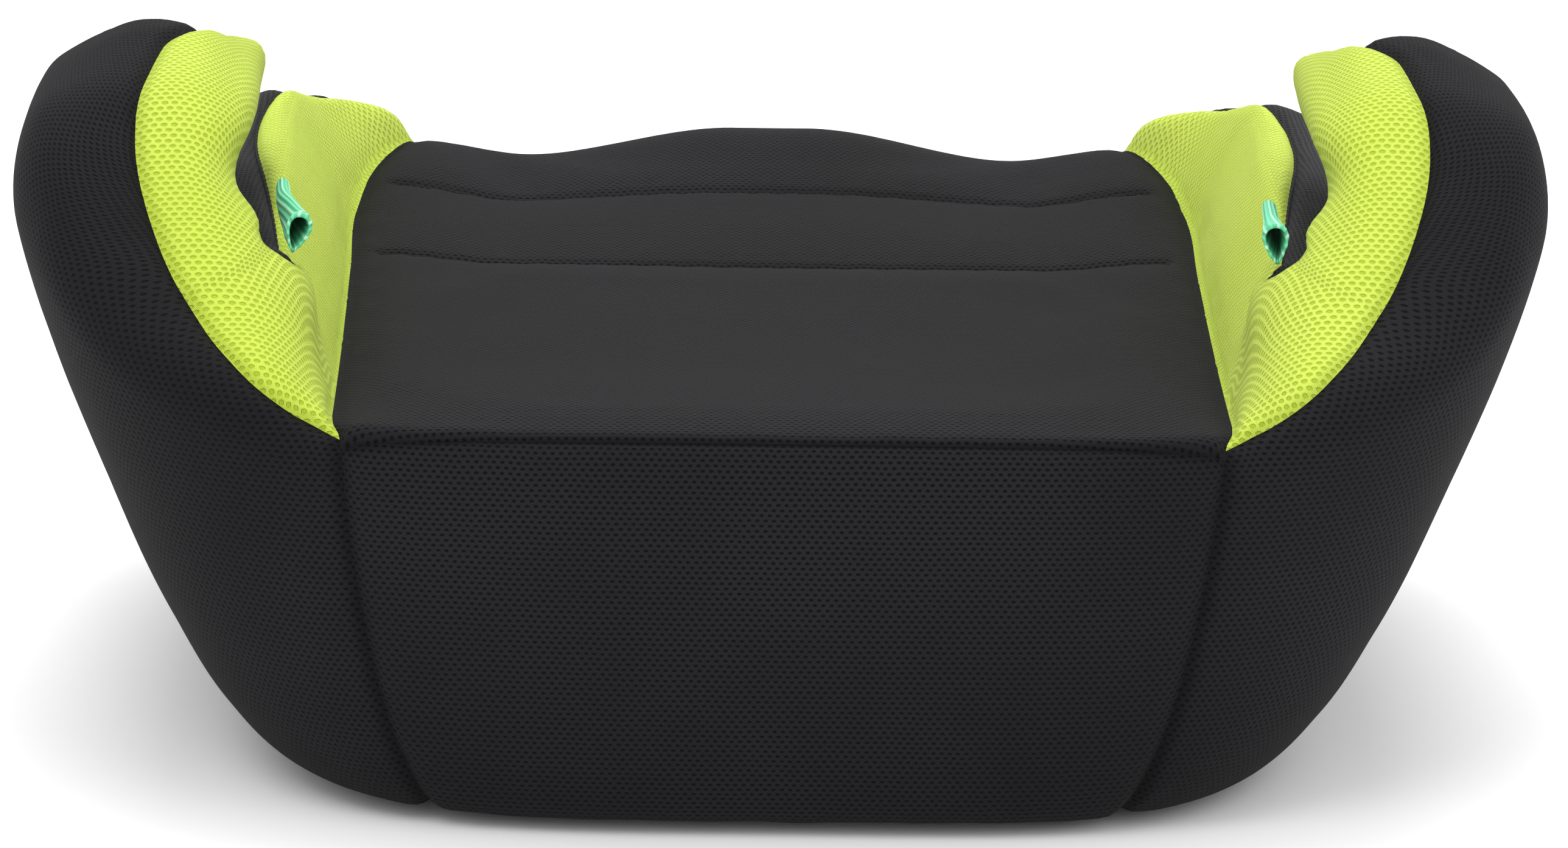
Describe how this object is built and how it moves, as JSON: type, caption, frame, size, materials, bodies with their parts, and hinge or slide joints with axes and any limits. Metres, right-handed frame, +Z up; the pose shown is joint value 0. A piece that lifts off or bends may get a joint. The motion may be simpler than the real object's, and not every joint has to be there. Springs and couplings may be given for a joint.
{
  "type": "booster seat",
  "caption": "Backless child booster seat: wide padded seat with thigh bolsters, hooked armrests over belt slots, and a sewn mesh cover.",
  "frame": {"origin": "on the floor, under the middle of the seat", "axes": "+Z up, the child faces -Y, +X is the child's left"},
  "size_m": [0.4438, 0.3724, 0.208],
  "materials": {
    "black_cover": "matt knitted spacer mesh",
    "lime_cover": "soft spacer mesh with staggered dimples",
    "slot_mesh": "coarse open mesh",
    "mint_webbing": "ribbed woven webbing",
    "black_binding": "plain woven hem",
    "elastic": "ribbed elastic tape",
    "moulded_foam": "expanded bead foam",
    "soft_foam": "open-cell foam",
    "core_plastic": "moulded, lightly grained",
    "plate_plastic": "moulded, lightly grained",
    "rubber": "matt",
    "screw_steel": "zinc-plated"
  },
  "bodies": {
    "seat": {"seat_panel": "black_cover", "back_panel": "black_cover", "front_panel": "black_cover", "side_panel_left": "black_cover", "side_panel_right": "black_cover", "arm_panel_left": "lime_cover", "arm_panel_right": "lime_cover", "slot_liner_left": "slot_mesh", "slot_liner_right": "slot_mesh", "hem_band": "black_binding", "hem_elastic": "elastic", "foam_body": "moulded_foam", "seat_foam": "soft_foam", "bolster_foam_left": "soft_foam", "bolster_foam_right": "soft_foam", "arm_foam_left": "soft_foam", "arm_foam_right": "soft_foam", "arm_core_left": "core_plastic", "arm_core_right": "core_plastic", "arm_pins": "core_plastic", "base_plate": "plate_plastic", "cover_hooks": "plate_plastic", "rubber_pads": "rubber", "plate_screws": "screw_steel"},
    "loop_left": {"guide_loop_left": "mint_webbing"},
    "loop_right": {"guide_loop_right": "mint_webbing"}
  },
  "joints": [
    {"name": "loop_left_flap", "type": "hinge", "parent": "seat", "child": "loop_left", "pos_m": [0.1415, 0.0985, 0.1544], "axis": [0, 1, 0], "range_deg": [-45, 22], "stiffness_Nm_per_rad": 0.004},
    {"name": "loop_right_flap", "type": "hinge", "parent": "seat", "child": "loop_right", "pos_m": [-0.1415, 0.0985, 0.1544], "axis": [0, -1, 0], "range_deg": [-45, 22], "stiffness_Nm_per_rad": 0.004}
  ]
}
